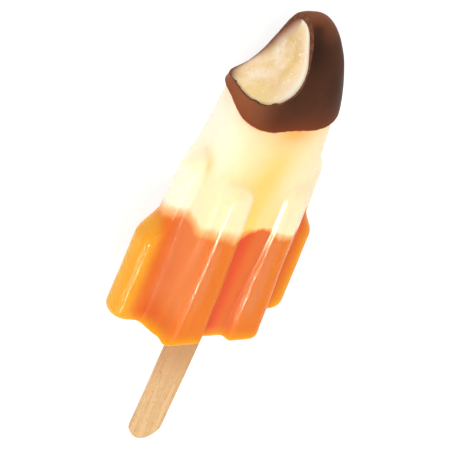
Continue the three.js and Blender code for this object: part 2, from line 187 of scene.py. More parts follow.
WAVES = [(86, 1.7, 18), (128, 0.4, 9), (114, -1.1, 8), (149, -0.9, 6), (167, 1.4, 7), (50, -1.8, 13), (20, 0.5, 9),
         (195, 1.1, 7), (213, -0.8, 8), (268, 2.1, 16), (312, -0.8, 10), (344, 0.9, 8)]


def layer_line(phi):
    deg = np.degrees(phi)
    s = LAYER + 0 * deg
    for centre, rise, width in WAVES:
        away = ((deg - centre + 900) % 360) - 180
        s = s + rise * np.exp(-((away / width) ** 2))
    return s


DIP_DEG = [-40, 0, 30, 45, 60, 80, 100, 125, 140, 155, 168, 180, 200, 240, 280, 320, 360, 390]
DIP_S = [72.5, 72.7, 72.3, 71.3, 70.9, 71.0, 70.9, 70.2, 70.5, 71.8, 73.6, 74.6, 74.7, 73.8, 73.0, 72.5, 72.7, 72.3]


def dip_line(phi):
    return curve(DIP_DEG, DIP_S, np.degrees(phi) % 360)


def base_drop(x, s):
    return BASE_DROP * (1 - smooth((np.abs(x) - 15) / 10)) * np.clip(1 - s / 10, 0, 1)


def bite_axes():
    out = np.array([math.cos(BITE_PITCH) * math.cos(BITE_HEADING), math.cos(BITE_PITCH) * math.sin(BITE_HEADING), math.sin(BITE_PITCH)])
    span = np.cross([0, 0, 1.0], out)
    span /= np.linalg.norm(span)
    depth = np.cross(out, span)
    c, s = math.cos(BITE_ROLL), math.sin(BITE_ROLL)
    return span * c + depth * s, depth * c - span * s, out


BU, BV, BN = bite_axes()


def wander(p, scale, seed):
    """smooth noise in -1..1 at points p (n, 3), features about scale mm across"""
    off = Vector((seed * 17.3, seed * 5.1, seed * 9.7))
    k = 1.0 / scale
    return np.array([noise.noise(Vector(q) * k + off) for q in p.tolist()])


# ------------------------------------------------------------------ mesh helpers
def grid_faces(rows, cols, closed=True):
    i = np.arange(rows - 1)[:, None] * cols
    j = np.arange(cols if closed else cols - 1)[None, :]
    k = (j + 1) % cols
    a, b, c, d = i + j, i + k, i + cols + k, i + cols + j
    return np.stack([a, b, c, d], -1).reshape(-1, 4)


def skin(rings, start, end):
    """closed skin over rings (m, n, 3) with a pole at each end"""
    m, n = rings.shape[:2]
    verts = np.concatenate([rings.reshape(-1, 3), [start], [end]])
    faces = grid_faces(m, n).tolist()
    j = np.arange(n)
    k = (j + 1) % n
    first, last = m * n, (m - 1) * n
    faces += np.stack([np.full(n, first), k, j], -1).tolist()
    faces += np.stack([np.full(n, first + 1), last + j, last + k], -1).tolist()
    return verts, faces


def make_object(name, verts, faces, materials=()):
    me = bpy.data.meshes.new(name)
    me.from_pydata(np.asarray(verts).tolist(), [], faces)
    for m in materials:
        me.materials.append(m)
    me.validate()
    me.update()
    ob = bpy.data.objects.new(name, me)
    bpy.context.scene.collection.objects.link(ob)
    return ob


def volume(me):
    co = np.empty(len(me.vertices) * 3)
    me.vertices.foreach_get("co", co)
    co = co.reshape(-1, 3)
    me.calc_loop_triangles()
    tri = np.empty(len(me.loop_triangles) * 3, np.int32)
    me.loop_triangles.foreach_get("vertices", tri)
    t = co[tri.reshape(-1, 3)]
    return float(np.einsum("ij,ij->i", t[:, 0], np.cross(t[:, 1], t[:, 2])).sum() / 6)


def turn_outward(ob):
    if volume(ob.data) < 0:
        ob.data.flip_normals()


def cut(ob, tool):
    """takes the tool's shape out of the object; the faces it leaves take the object's second material"""
    for m in ob.data.materials:
        tool.data.materials.append(m)
    tool.data.polygons.foreach_set("material_index", np.ones(len(tool.data.polygons), np.int32))
    mod = ob.modifiers.new("cut", "BOOLEAN")
    mod.operation = "DIFFERENCE"
    mod.object = tool
    mod.solver = "MANIFOLD"
    dg = bpy.context.evaluated_depsgraph_get()
    me = bpy.data.meshes.new_from_object(ob.evaluated_get(dg), depsgraph=dg)
    ob.modifiers.clear()
    ob.data = me
    tool_mesh = tool.data
    bpy.data.objects.remove(tool)
    bpy.data.meshes.remove(tool_mesh)


def coords(me):
    co = np.empty(len(me.vertices) * 3)
    me.vertices.foreach_get("co", co)
    return co.reshape(-1, 3)


def vertex_normals(me):
    n = np.empty(len(me.vertices) * 3)
    me.vertices.foreach_get("normal", n)
    return n.reshape(-1, 3)


def set_coords(me, co):
    me.vertices.foreach_set("co", np.ascontiguousarray(co, dtype=float).ravel())
    me.update()


def set_attr(me, name, values):
    a = me.attributes.get(name) or me.attributes.new(name, "FLOAT", "POINT")
    a.data.foreach_set("value", np.ascontiguousarray(values, dtype=float))


LIE_M = np.array(LIE)


def to_world(p):
    return p @ LIE_M[:3, :3].T + LIE_M[:3, 3]


def settle(ob, sharp=None):
    """from lolly millimetres to the row frame, kept inside the CAD box, with smooth shading"""
    co = to_world(coords(ob.data))
    lo, hi = np.array(CAD_BOX[0]) + 1e-5, np.array(CAD_BOX[1]) - 1e-5
    set_coords(ob.data, np.clip(co, lo, hi))
    ob.data.shade_smooth()
    if sharp is not None:
        ob.data.set_sharp_from_angle(angle=math.radians(sharp))


# ------------------------------------------------------------------- materials
def new_material(name):
    m = bpy.data.materials.new(name)
    m.use_nodes = True
    nt = m.node_tree
    nt.nodes.clear()
    out = nt.nodes.new("ShaderNodeOutputMaterial")
    bsdf = nt.nodes.new("ShaderNodeBsdfPrincipled")
    nt.links.new(bsdf.outputs[0], out.inputs["Surface"])
    return m, nt, bsdf


class Nodes:
    """short calls for building a node tree"""

    def __init__(self, nt):
        self.nt = nt
        self.place = nt.nodes.new("ShaderNodeTexCoord").outputs["Object"]

    def plug(self, socket, value):
        if isinstance(value, bpy.types.NodeSocket):
            self.nt.links.new(value, socket)
        elif isinstance(value, (tuple, list)) and len(value) == 3 and socket.type == "RGBA":
            socket.default_value = (*value, 1.0)
        else:
            socket.default_value = value

    def attr(self, name):
        n = self.nt.nodes.new("ShaderNodeAttribute")
        n.attribute_name = name
        return n.outputs["Fac"]

    def math(self, op, a, b=0.0, c=0.0, clamp=False):
        n = self.nt.nodes.new("ShaderNodeMath")
        n.operation = op
        n.use_clamp = clamp
        self.plug(n.inputs[0], a)
        self.plug(n.inputs[1], b)
        self.plug(n.inputs[2], c)
        return n.outputs[0]

    def stretch(self, scale):
        n = self.nt.nodes.new("ShaderNodeMapping")
        n.inputs["Scale"].default_value = scale
        self.plug(n.inputs["Vector"], self.place)
        return n.outputs[0]

    def noise(self, scale, detail=3.0, rough=0.5, vector=None, distort=0.0):
        n = self.nt.nodes.new("ShaderNodeTexNoise")
        self.plug(n.inputs["Vector"], vector or self.place)
        n.inputs["Scale"].default_value = scale
        n.inputs["Detail"].default_value = detail
        n.inputs["Roughness"].default_value = rough
        n.inputs["Distortion"].default_value = distort
        return n.outputs["Fac"]

    def range(self, v, a, b, c=0.0, d=1.0, kind="SMOOTHSTEP"):
        n = self.nt.nodes.new("ShaderNodeMapRange")
        n.interpolation_type = kind
        self.plug(n.inputs["Value"], v)
        for key, x in (("From Min", a), ("From Max", b), ("To Min", c), ("To Max", d)):
            n.inputs[key].default_value = x
        return n.outputs[0]

    def mix(self, t, a, b, blend="MIX"):
        n = self.nt.nodes.new("ShaderNodeMix")
        n.data_type = "RGBA"
        n.blend_type = blend
        self.plug(n.inputs[0], t)
        self.plug(n.inputs[6], a)
        self.plug(n.inputs[7], b)
        return n.outputs[2]

    def bump(self, height, strength, distance, normal=None):
        n = self.nt.nodes.new("ShaderNodeBump")
        self.plug(n.inputs["Height"], height)
        n.inputs["Strength"].default_value = strength
        n.inputs["Distance"].default_value = distance
        if normal is not None:
            self.plug(n.inputs["Normal"], normal)
        return n.outputs[0]


def srgb(r, g, b):
    f = lambda c: c / 12.92 if c <= 0.04045 else ((c + 0.055) / 1.055) ** 2.4
    return tuple(f(v / 255.0) for v in (r, g, b))


ORANGE = srgb(221, 122, 44)
# painted shade: the redder orange laid into the valleys between the ribs
ORANGE_SHADED = srgb(216, 84, 54)
# painted glow: golden orange for the thin fin edges and the bottom rim
ORANGE_GLOW = srgb(230, 162, 16)
ORANGE_HAZE = srgb(226, 140, 88)
YELLOW = srgb(255, 230, 193)
# painted shade: the deeper yellow laid into the valleys and beside the middle rib
YELLOW_SHADED = srgb(254, 207, 120)
# painted light: the paler yellow for the lit side of the ice
YELLOW_LIT = srgb(254, 238, 220)
# painted glow: peach for the yellow ice just below the chocolate
YELLOW_GLOW = srgb(254, 183, 107)


def ice_material():
    m, nt, p = new_material("fruit_ice")
    k = Nodes(nt)
    line, valley_shade, lift, glow = k.attr("line"), k.attr("valley_shade"), k.attr("lift"), k.attr("glow")
    cloud = k.noise(120.0, 3.0, 0.55)
    fine = k.noise(900.0, 3.0, 0.6)
    crisp = k.attr("crisp")
    # where orange turns to yellow, a soft and slightly ragged border
    wisp = k.noise(1.0, 3.0, 0.6, vector=k.stretch((430.0, 90.0, 430.0)))
    ragged = k.math("ADD", line, k.math("MULTIPLY", k.math("SUBTRACT", cloud, 0.5), 1.4))
    ragged = k.math("ADD", ragged, k.math("MULTIPLY", k.math("SUBTRACT", wisp, 0.5), 2.4))
    layer = k.range(k.math("MULTIPLY", ragged, crisp), -1.0, 1.0)
    # painted shade: the valley mask darkens the colour in the valleys between the ribs
    deep = k.math("ADD", valley_shade, k.math("MULTIPLY", k.math("SUBTRACT", cloud, 0.5), 0.30))
    orange = k.mix(k.range(deep, 0.0, 1.0), ORANGE, ORANGE_SHADED)
    orange = k.mix(k.attr("haze"), orange, ORANGE_HAZE)
    # painted glow: golden orange on the thin outer fins and along the base, as if lit through
    orange = k.mix(k.range(lift, 0.0, 1.0), orange, ORANGE_GLOW)
    yellow = k.mix(k.range(deep, 0.0, 1.0), YELLOW, YELLOW_SHADED)
    # painted light: paler yellow over the left side and the right end of the ice
    pale_lit = k.math("ADD", k.attr("pale_lit"), k.math("MULTIPLY", k.math("SUBTRACT", cloud, 0.5), 0.2))
    yellow = k.mix(k.range(pale_lit, 0.0, 1.0), yellow, YELLOW_LIT)
    # painted shade: deeper yellow in the centre valley beside the middle rib and at the foot of the left end rib
    yellow = k.mix(k.attr("centre_shade"), yellow, YELLOW_SHADED)
    # painted glow: peach tint just below the chocolate's lower edge
    yellow = k.mix(glow, yellow, YELLOW_GLOW)
    # painted light: paler cream over the end ribs' tops, covering the shade there
    yellow = k.mix(k.attr("cream_lit"), yellow, srgb(255, 243, 208))
    colour = k.mix(layer, orange, yellow)
    both = k.math("MULTIPLY", k.math("MULTIPLY", layer, k.math("SUBTRACT", 1.0, layer)), 1.3)
    colour = k.mix(both, colour, srgb(244, 174, 62))
    k.plug(p.inputs["Base Color"], colour)
    p.subsurface_method = "RANDOM_WALK"
    p.inputs["Subsurface Weight"].default_value = 1.0
    p.inputs["Subsurface Radius"].default_value = (1.0, 0.65, 0.38)
    p.inputs["Subsurface Scale"].default_value = 0.0028
    p.inputs["Subsurface Anisotropy"].default_value = 0.2
    p.inputs["IOR"].default_value = 1.34
    p.inputs["Specular IOR Level"].default_value = 0.08
    k.plug(p.inputs["Roughness"], k.range(k.math("ADD", fine, k.math("MULTIPLY", valley_shade, 0.3)), 0.3, 0.8, 0.22, 0.55))
    k.plug(p.inputs["Coat Weight"], k.range(k.attr("gloss"), 0.0, 1.0, 0.12, 1.0, kind="LINEAR"))
    p.inputs["Coat Roughness"].default_value = 0.16
    p.inputs["Coat IOR"].default_value = 1.6
    grain = k.range(k.noise(2400.0, 1.0, 0.5), 0.44, 0.70)
    ripple = k.noise(260.0, 2.0, 0.5, vector=k.stretch((1.0, 0.3, 1.0)))
    frost = k.math("MAXIMUM", k.range(k.noise(110.0, 2.0, 0.5), 0.40, 0.58, 0.25, 1.0), lift)
    frost = k.math("MULTIPLY", frost, k.range(line, -13.0, -2.0, 1.0, 0.04))
    b = k.bump(ripple, 0.10, 0.0006)
    k.plug(p.inputs["Normal"], k.bump(k.math("MULTIPLY", grain, frost), 0.2, 0.00012, b))
    k.plug(p.inputs["Coat Normal"], k.bump(k.math("MULTIPLY", grain, frost), 1.0, 0.00020, b))
    return m


def bite_material():
    m, nt, p = new_material("bitten_ice")
    k = Nodes(nt)
    edge = k.attr("edge")
    cloud = k.noise(170.0, 3.0, 0.6, distort=0.4)
    fine = k.noise(1100.0, 4.0, 0.7)
    colour = k.mix(k.range(cloud, 0.35, 0.66), srgb(244, 222, 186), srgb(234, 202, 146))
    colour = k.mix(k.range(fine, 0.5, 0.75, 0.0, 0.5), colour, srgb(238, 226, 204))
    colour = k.mix(k.attr("dim"), colour, srgb(204, 176, 132))
    colour = k.mix(k.math("MULTIPLY", k.attr("straw"), 0.6), colour, srgb(238, 212, 146))
    patch = k.range(k.noise(240.0, 3.0, 0.6), 0.36, 0.62)
    colour = k.mix(k.math("MULTIPLY", k.attr("rimy"), k.math("MULTIPLY", patch, 0.75)), colour, srgb(250, 238, 220))
    colour = k.mix(k.attr("milky"), colour, srgb(248, 236, 224))
    colour = k.mix(k.math("MULTIPLY", k.attr("streak"), 0.6), colour, srgb(220, 184, 104))
    sparkle = k.math("MULTIPLY", k.range(k.noise(1300.0, 3.0, 0.7), 0.52, 0.68), k.range(k.noise(210.0, 2.0, 0.5), 0.42, 0.60, 0.05, 0.60))
    colour = k.mix(sparkle, colour, srgb(255, 248, 236))
    colour = k.mix(edge, colour, srgb(124, 50, 20))
    k.plug(p.inputs["Base Color"], colour)
    p.subsurface_method = "RANDOM_WALK"
    k.plug(p.inputs["Subsurface Weight"], k.range(edge, 0.0, 1.0, 1.0, 0.15, kind="LINEAR"))
    p.inputs["Subsurface Radius"].default_value = (1.0, 0.6, 0.35)
    p.inputs["Subsurface Scale"].default_value = 0.0018
    p.inputs["IOR"].default_value = 1.34
    k.plug(p.inputs["Roughness"], k.range(fine, 0.3, 0.7, 0.45, 0.7))
    b = k.bump(cloud, 0.3, 0.0008)
    b = k.bump(fine, 0.5, 0.00035, b)
    k.plug(p.inputs["Normal"], b)
    return m


def chocolate_material(name, cut_face=False):
    m, nt, p = new_material(name)
    k = Nodes(nt)
    lip = k.attr("lip")
    cloud = k.noise(90.0, 3.0, 0.5)
    fine = k.noise(900.0, 4.0, 0.6)
    dark = k.mix(k.range(cloud, 0.3, 0.7), srgb(68, 40, 27), srgb(80, 48, 33))
    # painted light: lighter, redder brown on the left side and over the top of the chocolate
    dark = k.mix(k.attr("warm_lit"), dark, srgb(144, 86, 56))
    dark = k.mix(k.attr("shade"), dark, srgb(42, 24, 17))
    # painted glow: red-brown towards the lower edge, as if light came through the thin chocolate there
    colour = k.mix(lip, dark, srgb(134, 62, 33))
    # painted glow: a light orange-brown band at the very lower edge of the chocolate
    colour = k.mix(k.attr("hem_glow"), colour, srgb(214, 124, 70))
    if cut_face:
        colour = k.mix(k.range(fine, 0.4, 0.7), srgb(94, 58, 39), srgb(122, 80, 55))
    k.plug(p.inputs["Base Color"], colour)
    p.subsurface_method = "RANDOM_WALK"
    p.inputs["Subsurface Weight"].default_value = 0.25
    p.inputs["Subsurface Radius"].default_value = (1.0, 0.4, 0.2)
    p.inputs["Subsurface Scale"].default_value = 0.0006
    p.inputs["IOR"].default_value = 1.46
    p.inputs["Specular IOR Level"].default_value = 0.10
    k.plug(p.inputs["Roughness"], k.range(cloud, 0.3, 0.7, 0.48, 0.58) if not cut_face else 0.65)
    b = k.bump(cloud, 0.12, 0.001)
    b = k.bump(fine, 0.10 if not cut_face else 0.5, 0.0002, b)
    k.plug(p.inputs["Normal"], b)
    return m


def wood_material():
    m, nt, p = new_material("birch")
    k = Nodes(nt)
    along = k.attr("along")
    grain = k.noise(1.0, 5.0, 0.65, vector=k.stretch((2000.0, 150.0, 2000.0)))
    dash = k.noise(1.0, 2.0, 0.5, vector=k.stretch((3000.0, 520.0, 3000.0)))
    band = k.noise(1.0, 3.0, 0.5, vector=k.stretch((420.0, 12.0, 420.0)))
    colour = k.mix(k.range(band, 0.35, 0.65), srgb(210, 173, 128), srgb(222, 189, 146))
    colour = k.mix(k.range(grain, 0.48, 0.70, 0.0, 0.6), colour, srgb(190, 142, 98))
    colour = k.mix(k.range(dash, 0.58, 0.72, 0.0, 0.7), colour, srgb(164, 116, 78))
    # painted shade: the wood darkens towards the ice end of the stick
    k.plug(p.inputs["Base Color"], k.mix(k.range(along, 0.0, 1.0, 0.0, 0.75), colour, srgb(186, 136, 98)))
    k.plug(p.inputs["Roughness"], k.range(grain, 0.3, 0.7, 0.55, 0.75))
    p.inputs["Specular IOR Level"].default_value = 0.35
    b = k.bump(grain, 0.4, 0.00022)
    b = k.bump(dash, 0.3, 0.00015, b)
    k.plug(p.inputs["Normal"], b)
    return m


FRUIT_ICE = ice_material()
BITTEN = bite_material()
CHOC = chocolate_material("chocolate")
CHOC_CUT = chocolate_material("chocolate_broken", True)
WOOD = wood_material()


# ------------------------------------------------------------------- the bite
def bite_tool(rough, jag, seed, lift=0.0):
    """a block whose underside is the scoop, with a grainy surface"""
    half_u, half_v, high, step = 27.0, 20.0, 34.0, 0.32
    nu, nv = int(2 * half_u / step) + 1, int(2 * half_v / step) + 1
    u, v = np.meshgrid(np.linspace(-half_u, half_u, nu), np.linspace(-half_v, half_v, nv), indexing="ij")
    w = BITE_K1 * u * u + BITE_K2 * v * v
    low = BITE_C + u[..., None] * BU + v[..., None] * BV + w[..., None] * BN
    flat = low.reshape(-1, 3)
    bumpy = lift + 0.22 * wander(flat, 5.5, 11) + rough * wander(flat, 1.15, seed + 1) + jag * np.clip(wander(flat, 2.1, seed + 2) - 0.08, 0, 1) * smooth((v.ravel() + 3.0) / 4.0)
    low = (flat + bumpy[:, None] * BN).reshape(nu, nv, 3)
    top = BITE_C + u[..., None] * BU + v[..., None] * BV + high * BN
    n = nu * nv
    verts = np.concatenate([low.reshape(-1, 3), top.reshape(-1, 3)])
    under = grid_faces(nu, nv, closed=False)
    faces = under.tolist() + (under[:, ::-1] + n).tolist()
    i, j = np.arange(nu - 1), np.arange(nv - 1)
    for a, b in ((i * nv, (i + 1) * nv), ((i + 1) * nv + nv - 1, i * nv + nv - 1), (j + 1, j), ((nu - 1) * nv + j, (nu - 1) * nv + j + 1)):
        faces += np.stack([a, b, b + n, a + n], -1).tolist()
    ob = make_object("bite_tool", verts, faces)
    turn_outward(ob)
    return ob


# --------------------------------------------------------------------- the ice
def quarter_points(s, inset, count):
    """points round a quarter of each ribbed section, crowded where it turns"""
    fine = 420
    phi = np.linspace(0, math.pi / 2, fine + 1)
    r = ice_radius(phi[None, :], s[:, None], inset[:, None])
    x, z = r * np.cos(phi), r * np.sin(phi)
    dx, dz = np.diff(x, axis=1), np.diff(z, axis=1)
    head = np.arctan2(dz, dx)
    turn = np.abs(np.diff(head, axis=1, prepend=head[:, :1]))
    turn = np.minimum(turn, 2 * math.pi - turn)
    w = np.concatenate([np.zeros((len(s), 1)), np.cumsum(np.hypot(dx, dz) + 1.6 * turn, axis=1)], axis=1)
    goal = np.linspace(0, 1, count + 1)
    qx, qz = np.empty((len(s), count + 1)), np.empty((len(s), count + 1))
    for i in range(len(s)):
        qx[i] = np.interp(goal * w[i, -1], w[i], x[i])
        qz[i] = np.interp(goal * w[i, -1], w[i], z[i])
    return qx, qz


def full_ring(qx, qz):
    x = np.concatenate([qx[:, :-1], -qx[:, :0:-1], -qx[:, :-1], qx[:, :0:-1]], axis=1)
    z = np.concatenate([qz[:, :-1], qz[:, :0:-1], -qz[:, :-1], -qz[:, :0:-1]], axis=1)
    return x, z


def build_ice():
    turns = np.radians(np.linspace(0, 90, 9))
    s = np.concatenate([BASE_ROUND * (1 - np.cos(turns)), np.arange(2.2, 62.0, 0.40), np.arange(62.0, 72.5, 0.55)])
    up = np.sin(np.linspace(0, 1, 46)[1:-1] * math.pi / 2)
    s = np.concatenate([s, 72.5 + (ICE_L - 72.5) * up])
    inset = np.zeros(len(s))
    inset[:9] = BASE_ROUND * (1 - np.sin(turns))
    qx, qz = quarter_points(s, inset, 84)
    # the ribs' ends melt into the body
    for _ in range(10):
        for q in (qx, qz):
            soft = 0.5 * smooth((s[1:-1] - 44.0) / 5.0) * (1 - smooth((s[1:-1] - 61.0) / 4.0))
            q[1:-1] += soft[:, None] * (0.5 * (q[2:] + q[:-2]) - q[1:-1])
    x, z = full_ring(qx, qz)
    y = s[:, None] - base_drop(x, s[:, None])
    rings = np.stack([x, y, z], -1)
    # the underside, from its rim in to the middle
    rim = rings[0]
    middle = np.array([0.0, -BASE_DROP, 0.0])
    inner = []
    for f in np.linspace(0.04, 0.96, 22):
        r = rim * f
        r[:, 1] = -base_drop(r[:, 0], 0.0)
        inner.append(r)
    rings = np.concatenate([np.array(inner), rings])
    verts, faces = skin(rings, middle, (0.0, ICE_L, 0.0))
    ob = make_object("ice_body", verts, faces, [FRUIT_ICE, BITTEN])
    turn_outward(ob)
    # melted unevenness: broad swells and small dimples along the ribs
    me = ob.data
    co, nrm = coords(me), vertex_normals(me)
    swell = 0.20 * wander(co * (1, 0.45, 1), 9.0, 3) + 0.05 * wander(co * (1, 0.5, 1), 3.6, 5) + 0.012 * wander(co, 1.5, 7)
    calm = smooth((co[:, 1] - 1.0) / 3.0) * 0.7 + 0.3
    hidden = smooth((co[:, 1] - 69.0) / 3.0)
    co = co + nrm * (swell * calm * (1 - hidden) - 0.10)[:, None]
    # a melted swelling at the foot of the left outer valley
    foot = np.exp(-((co[:, 0] + 16.2) / 2.3) ** 2 - (co[:, 1] / 4.5) ** 2) * smooth((co[:, 2] - 1.0) / 3.0)
    co += foot[:, None] * np.array([-0.3, -1.3, 1.1])
    at = np.arctan2(co[:, 2], co[:, 0])
    rad = np.maximum(np.hypot(co[:, 0], co[:, 2]), 1e-6)
    grow = 1 + np.where(co[:, 1] > 69, thin_coat(at, co[:, 1]), 0) / rad
    co[:, 0] *= grow
    co[:, 2] *= grow
    set_coords(me, co)
    cut(ob, bite_tool(0.09, 0.0, 11))
    me = ob.data
    co = coords(me)
    phi = np.arctan2(co[:, 2], co[:, 0])
    x, s, z = np.abs(co[:, 0]), co[:, 1], co[:, 2]
    hull_a = np.where(s < END_TOP, mix(END_X, np.clip(s / END_TOP, 0, 1)) * 1.04, curve(ICE_S, ICE_W, s))
    hull_b = np.where(s < RIB_TOP, mix(RIB_Z, np.clip(s / RIB_TOP, 0, 1)), curve(ICE_S, ICE_T, s))
    g = ((x / hull_a) ** 2.3 + (np.abs(z) / hull_b) ** 2.3) ** (1 / 2.3)
    rib_c, rib_h = mix(RIB_C, np.clip(s / RIB_TOP, 0, 1)), mix(RIB_H, np.clip(s / RIB_TOP, 0, 1))
    wall = rib_c - rib_h
    # painted shade in the valleys: inner is the centre valley, deepest beside the middle rib; outer is the valleys
    # beside the end ribs
    inner = smooth((wall + 0.5 - x) / 0.9) * (0.55 + 0.45 * (1 - smooth((co[:, 0] + wall - 0.6) / 3.6)))
    outer = np.exp(-((x - np.where(co[:, 0] > 0, 20.6, 18.4)) / np.where(co[:, 0] > 0, 2.6, 3.8)) ** 2)
    valley_shade = np.maximum(inner * 0.95, outer * 0.5 * (1 - 0.6 * smooth((s - layer_line(phi)) / 3.0))) * (1 - smooth((s - 44) / 11)) * smooth((g - 0.2) / 0.3)
    # painted glow on the thin outer fins and along the base; the same mask also adds frost grain to the coat
    lift = smooth((x - 20.4) / 5.6) * (0.6 + 0.4 * (co[:, 0] < 0)) + 0.8 * smooth((5.5 - s) / 7.0)
    turn = np.degrees(phi) % 360
    # painted glow: peach tint just below the chocolate's lower edge, strongest at the front
    glow = np.exp(-(np.maximum(dip_line(phi) - s, 0) / 4.8) ** 2) * (0.15 + 0.85 * np.exp(-((turn - 86) / 32) ** 2))
    # painted light: paler yellow on the left side, where the left lamp falls, and towards the right end
    pale_lit = smooth((turn - 125) / 42) * (1 - smooth((turn - 235) / 40)) * (1 - 0.7 * np.exp(-((x - 16.0) / 2.4) ** 2) * (1 - smooth((s - 48) / 12)))
    core = core_radius(phi, curve(ICE_S, ICE_W, s), curve(ICE_S, ICE_T, s))
    proud = np.hypot(co[:, 0], co[:, 2]) - core
    on_rib = smooth((proud - 0.05) / 0.55) * (s < END_TOP)
    # painted shade: deeper yellow in the centre valley beside the middle rib and above the rib tops, and a thin line
    # where the left end rib meets the body
    centre_shade = 0.7 * np.exp(-((co[:, 0] + 2.6) / 5.0) ** 2 - ((s - 51) / 9) ** 2) + 0.55 * np.exp(-((co[:, 0] + 0.5) / 6.0) ** 2 - ((s - 62) / 7) ** 2)
    centre_shade += 0.3 * np.exp(-((co[:, 0] + 8.0) / 7.0) ** 2 - ((s - 54) / 6) ** 2)
    centre_shade = centre_shade * (1 - 0.95 * on_rib) * (z > 0) + 0.65 * np.exp(-((co[:, 0] + 16.9 - 0.05 * (s - 56)) / 0.8) ** 2 - ((s - 55.0) / 3.6) ** 2) * (z > 0)
    pale_lit = np.maximum(pale_lit, 0.35 * smooth((co[:, 0] - 17.0) / 4.0))
    ridge = (1 - smooth((np.abs(x - rib_c) - rib_h - 0.5) / 1.4)) * (1 - smooth((s - RIB_TOP) / 2.0)) * (z > 0)
    deep = mix(RIB_Z, np.clip(s / RIB_TOP, 0, 1)) - z
    left = smooth((np.sign(co[:, 0]) * rib_c - co[:, 0] + 0.5) / 1.5)
    ridge = ridge * left * (0.06 + 0.94 * (1 - smooth((deep - 0.55) / 0.75)))
    gloss = ridge * smooth((s - np.where(co[:, 0] < 0, 7.0, 3.0)) / 13.0) + 0.55 * smooth((-co[:, 0] - 21.0) / 3.0)
    haze = 0.62 * smooth((-co[:, 0] - 12.4) / 2.0) * smooth((co[:, 0] + 21.5) / 4.0) * smooth((s - 4.0) / 10.0)
    set_attr(me, "haze", np.clip(haze + 0.35 * inner * smooth((co[:, 0] + 1.5) / 3.0), 0, 1))
    set_attr(me, "gloss", np.clip(gloss * (1 - 0.5 * (co[:, 0] < 0) * smooth((s - layer_line(phi)) / 3.0)), 0, 1))
    set_attr(me, "line", s - layer_line(phi))
    deg = np.degrees(phi) % 360
    set_attr(me, "crisp", 0.38 + 1.0 * np.exp(-((deg - 84) / 15.0) ** 2) + 0.35 * np.exp(-((deg - 30) / 40.0) ** 2))
    set_attr(me, "valley_shade", np.clip(valley_shade, 0, 1))
    set_attr(me, "lift", np.clip(lift, 0, 1))
    set_attr(me, "glow", np.clip(glow, 0, 1))
    set_attr(me, "pale_lit", np.clip(pale_lit, 0, 1))
    set_attr(me, "centre_shade", np.clip(centre_shade, 0, 1))
    # painted shade: a thin line where the left end rib meets the body, kept out of the paler cream below
    end_rib_shade = np.exp(-((co[:, 0] + 16.9 - 0.05 * (s - 56)) / 0.8) ** 2 - ((s - 55.0) / 3.6) ** 2) * (z > 0)
    # painted light: paler cream over the end ribs' tops
    set_attr(me, "cream_lit", 0.7 * smooth((x - 15.0) / 3.0) * smooth((s - 49) / 6) * (1 - smooth((s - 59) / 5)) * (1 - end_rib_shade))
    # brownish edge along the far rim of the bite
    q = co - BITE_C
    rad_here = np.hypot(co[:, 0], co[:, 2])
    top = np.minimum(co[:, 1], ICE_L - 0.3)
    to_wall = plain_radius(phi, top) + thin_coat(phi, top) - rad_here
    far = smooth((-co[:, 2] / np.maximum(rad_here, 1e-6) - 0.02) / 0.35)
    rim_darkening = np.exp(-(np.maximum(to_wall, 0) / (1.5 + 1.8 * smooth((co[:, 1] - 78.5) / 8.0))) ** 1.7) * far + 0.5 * np.exp(-(to_wall / 0.45) ** 2) * (1 - far)
    set_attr(me, "edge", np.clip(rim_darkening, 0, 1))
    set_attr(me, "dim", 0.55 * smooth((co[:, 1] - 84.5) / 8.0))
    # paler towards the near right rim, with one yellower streak beside it
    across, down = q @ BV, q @ BU
    near = np.exp(-(np.maximum(to_wall, 0) / 2.4) ** 1.6) * smooth((across + 1.0) / 4.0)
    set_attr(me, "milky", np.clip(near * smooth((7.0 - down) / 8.0), 0, 1))
    set_attr(me, "streak", np.clip(np.exp(-((across - 7.6 + 0.08 * down) / 1.0) ** 2 - ((down + 4.5) / 4.2) ** 2), 0, 1))
    set_attr(me, "rimy", np.exp(-((across - 2.6) / 2.4) ** 2) * smooth((down + 10.0) / 3.0) * (1 - smooth((down - 2.0) / 4.0)))
    set_attr(me, "straw", smooth((down - 0.5) / 4.0) * smooth((across - 4.5) / 3.0))
    settle(ob, 38)
    return ob


